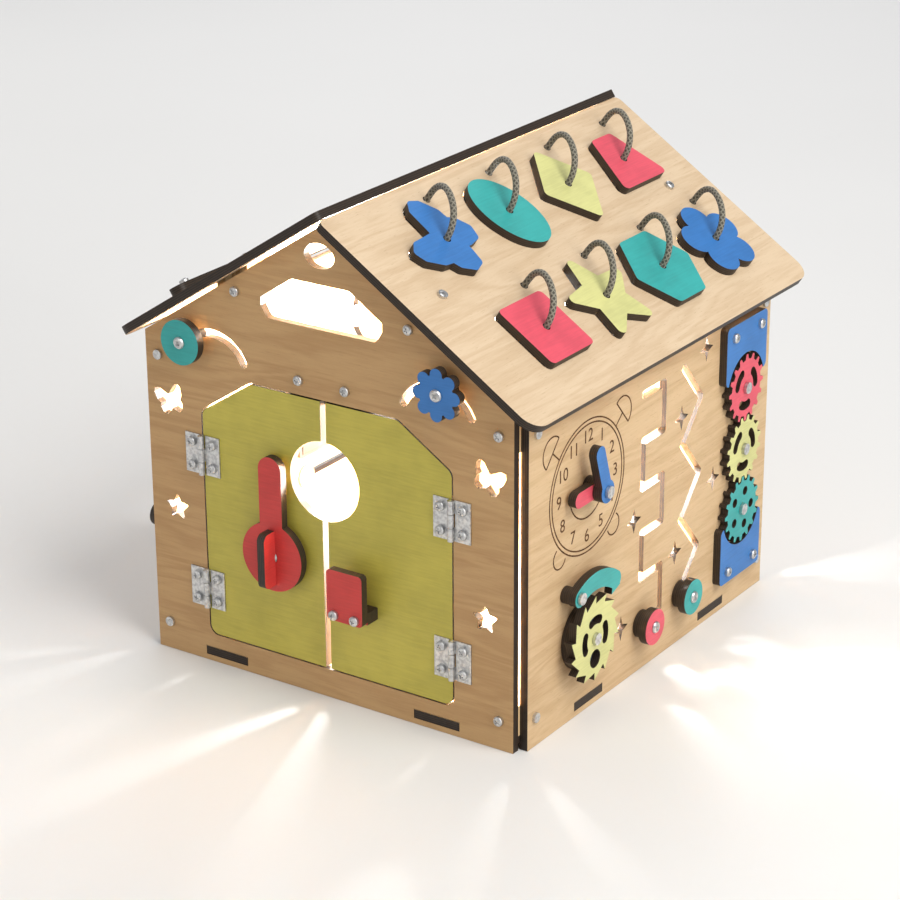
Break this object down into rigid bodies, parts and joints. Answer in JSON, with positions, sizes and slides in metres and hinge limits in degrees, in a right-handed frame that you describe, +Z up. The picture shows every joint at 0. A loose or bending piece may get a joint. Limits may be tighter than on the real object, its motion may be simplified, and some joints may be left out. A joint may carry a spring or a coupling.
{
  "type": "activity house",
  "caption": "Small plywood play house whose walls and roof carry latched doors, sliding knobs, gears, clock hands, a ratchet and tethered sorter pieces, lit from inside.",
  "frame": {"origin": "middle of the floor, on the ground that the walls stand on", "axes": "+Z up, +Y from the doors to the back, +X towards the wall with the clock and the gears"},
  "size_m": [0.3453, 0.3855, 0.3503],
  "materials": {
    "birch_ply": "sanded birch plywood with burnt laser-cut edges",
    "mustard_paint": "satin mustard-yellow paint on plywood",
    "red_paint": "satin red paint on plywood",
    "teal_paint": "satin teal paint on plywood",
    "blue_paint": "satin blue paint on plywood",
    "pink_paint": "satin rose-pink paint on plywood",
    "lime_paint": "satin lime-yellow paint on plywood",
    "navy_paint": "satin navy paint on plywood",
    "zinc_steel": "bright zinc plate",
    "grey_cord": "braided cord",
    "board_green": "printed circuit board",
    "lamp_lens": "milky lens",
    "black_plastic": "moulded plastic",
    "lead_sleeve": "plain sleeve"
  },
  "bodies": {
    "house": {"front_wall": "birch_ply", "back_wall": "birch_ply", "right_wall": "birch_ply", "left_wall": "birch_ply", "floor_panel": "birch_ply", "right_roof": "birch_ply", "left_roof": "birch_ply", "corner_blocks": "birch_ply", "roof_blocks": "birch_ply", "door_stop": "birch_ply", "wall_screws": "zinc_steel", "hinge_frame_leaves": "zinc_steel", "hinge_pins": "zinc_steel", "gear_end_plates": "blue_paint", "axle_screws": "zinc_steel", "roof_slat": "birch_ply", "light_board": "board_green", "light_lens": "lamp_lens", "battery_box": "black_plastic", "light_lead": "lead_sleeve", "sorter_cords": "grey_cord"},
    "left_door": {"left_door": "mustard_paint", "left_hinge_leaves": "zinc_steel", "left_door_screws": "zinc_steel"},
    "right_door": {"right_door": "mustard_paint", "right_hinge_leaves": "zinc_steel", "right_door_screws": "zinc_steel", "keeper_base": "red_paint", "keeper_plate": "red_paint"},
    "latch": {"latch_arm": "red_paint", "latch_grip": "red_paint"},
    "round_slider": {"round_knob": "teal_paint", "round_knob_post": "zinc_steel"},
    "cog_slider": {"cog_knob": "blue_paint", "cog_knob_post": "zinc_steel"},
    "red_slider": {"red_knob": "red_paint", "red_knob_post": "zinc_steel"},
    "teal_slider": {"teal_knob": "teal_paint", "teal_knob_post": "zinc_steel"},
    "track_slider": {"track_knob": "blue_paint", "track_knob_post": "zinc_steel"},
    "arc_slider": {"arc_knob": "red_paint", "arc_knob_post": "zinc_steel"},
    "spinner": {"spinner": "pink_paint"},
    "hour_hand": {"hour_hand": "pink_paint"},
    "minute_hand": {"minute_hand": "blue_paint"},
    "upper_gear": {"upper_gear": "pink_paint"},
    "middle_gear": {"middle_gear": "lime_paint"},
    "lower_gear": {"lower_gear": "teal_paint"},
    "ratchet": {"ratchet_wheel": "lime_paint", "ratchet_disc": "navy_paint"},
    "pawl": {"pawl": "teal_paint"},
    "butterfly_piece": {"piece_butterfly": "blue_paint"},
    "oval_piece": {"piece_oval": "teal_paint"},
    "rhombus_piece": {"piece_rhombus": "lime_paint"},
    "trapezoid_piece": {"piece_trapezoid": "pink_paint"},
    "square_piece": {"piece_square": "pink_paint"},
    "star_piece": {"piece_star": "lime_paint"},
    "hexagon_piece": {"piece_hexagon": "teal_paint"},
    "flower_piece": {"piece_flower": "blue_paint"}
  },
  "joints": [
    {"name": "left_door_swing", "type": "hinge", "parent": "house", "child": "left_door", "pos_m": [-0.1029, -0.1724, 0.1], "axis": [0, 0, 1], "range_deg": [-110, 0]},
    {"name": "right_door_swing", "type": "hinge", "parent": "house", "child": "right_door", "pos_m": [0.1029, -0.1724, 0.1], "axis": [0, 0, 1], "range_deg": [0, 110]},
    {"name": "latch_turn", "type": "hinge", "parent": "left_door", "child": "latch", "pos_m": [-0.039, -0.17, 0.099], "axis": [0, -1, 0], "range_deg": [-97, 90]},
    {"name": "round_knob_slide", "type": "hinge", "parent": "house", "child": "round_slider", "pos_m": [-0.0915, -0.17, 0.218], "axis": [0, -1, 0], "range_deg": [-104, 26]},
    {"name": "cog_knob_slide", "type": "hinge", "parent": "house", "child": "cog_slider", "pos_m": [0.0915, -0.17, 0.218], "axis": [0, -1, 0], "range_deg": [-50, 80]},
    {"name": "red_knob_slide", "type": "slide", "parent": "house", "child": "red_slider", "axis": [0, 1, 0], "range_m": [0, 0.027]},
    {"name": "teal_knob_slide", "type": "slide", "parent": "house", "child": "teal_slider", "axis": [0, 0.6621, 0.7495], "range_m": [0, 0.0377]},
    {"name": "track_knob_slide", "type": "slide", "parent": "house", "child": "track_slider", "axis": [0, 1, 0], "range_m": [0, 0.07]},
    {"name": "arc_knob_slide", "type": "hinge", "parent": "house", "child": "arc_slider", "pos_m": [-0.156, 0.105, 0.178], "axis": [-1, 0, 0], "range_deg": [-70, 70]},
    {"name": "spinner_spin", "type": "hinge", "parent": "house", "child": "spinner", "pos_m": [-0.156, -0.132, 0.089], "axis": [-1, 0, 0], "continuous": true},
    {"name": "hour_hand_turn", "type": "hinge", "parent": "house", "child": "hour_hand", "pos_m": [0.156, -0.09, 0.1645], "axis": [1, 0, 0], "continuous": true},
    {"name": "minute_hand_turn", "type": "hinge", "parent": "house", "child": "minute_hand", "pos_m": [0.156, -0.09, 0.1645], "axis": [1, 0, 0], "continuous": true},
    {"name": "upper_gear_spin", "type": "hinge", "parent": "house", "child": "upper_gear", "pos_m": [0.156, 0.117, 0.17], "axis": [1, 0, 0], "continuous": true},
    {"name": "middle_gear_spin", "type": "hinge", "parent": "house", "child": "middle_gear", "pos_m": [0.156, 0.117, 0.123], "axis": [1, 0, 0], "continuous": true},
    {"name": "lower_gear_spin", "type": "hinge", "parent": "house", "child": "lower_gear", "pos_m": [0.156, 0.117, 0.076], "axis": [1, 0, 0], "continuous": true},
    {"name": "ratchet_spin", "type": "hinge", "parent": "house", "child": "ratchet", "pos_m": [0.156, -0.0975, 0.06], "axis": [1, 0, 0], "continuous": true},
    {"name": "pawl_swing", "type": "hinge", "parent": "house", "child": "pawl", "pos_m": [0.156, -0.11722, 0.09708], "axis": [1, 0, 0], "range_deg": [-3, 20]},
    {"name": "butterfly_lift", "type": "slide", "parent": "house", "child": "butterfly_piece", "axis": [0.5476, 0, 0.8368], "range_m": [0, 0.02], "deforming": ["sorter_cords"]},
    {"name": "oval_lift", "type": "slide", "parent": "house", "child": "oval_piece", "axis": [0.5476, 0, 0.8368], "range_m": [0, 0.02], "deforming": ["sorter_cords"]},
    {"name": "rhombus_lift", "type": "slide", "parent": "house", "child": "rhombus_piece", "axis": [0.5476, 0, 0.8368], "range_m": [0, 0.02], "deforming": ["sorter_cords"]},
    {"name": "trapezoid_lift", "type": "slide", "parent": "house", "child": "trapezoid_piece", "axis": [0.5476, 0, 0.8368], "range_m": [0, 0.02], "deforming": ["sorter_cords"]},
    {"name": "square_lift", "type": "slide", "parent": "house", "child": "square_piece", "axis": [0.5476, 0, 0.8368], "range_m": [0, 0.02], "deforming": ["sorter_cords"]},
    {"name": "star_lift", "type": "slide", "parent": "house", "child": "star_piece", "axis": [0.5476, 0, 0.8368], "range_m": [0, 0.02], "deforming": ["sorter_cords"]},
    {"name": "hexagon_lift", "type": "slide", "parent": "house", "child": "hexagon_piece", "axis": [0.5476, 0, 0.8368], "range_m": [0, 0.02], "deforming": ["sorter_cords"]},
    {"name": "flower_lift", "type": "slide", "parent": "house", "child": "flower_piece", "axis": [0.5476, 0, 0.8368], "range_m": [0, 0.02], "deforming": ["sorter_cords"]}
  ],
  "couplings": [
    {"joint": "upper_gear_spin", "follows": "middle_gear_spin", "ratio": -1},
    {"joint": "lower_gear_spin", "follows": "middle_gear_spin", "ratio": -1}
  ]
}
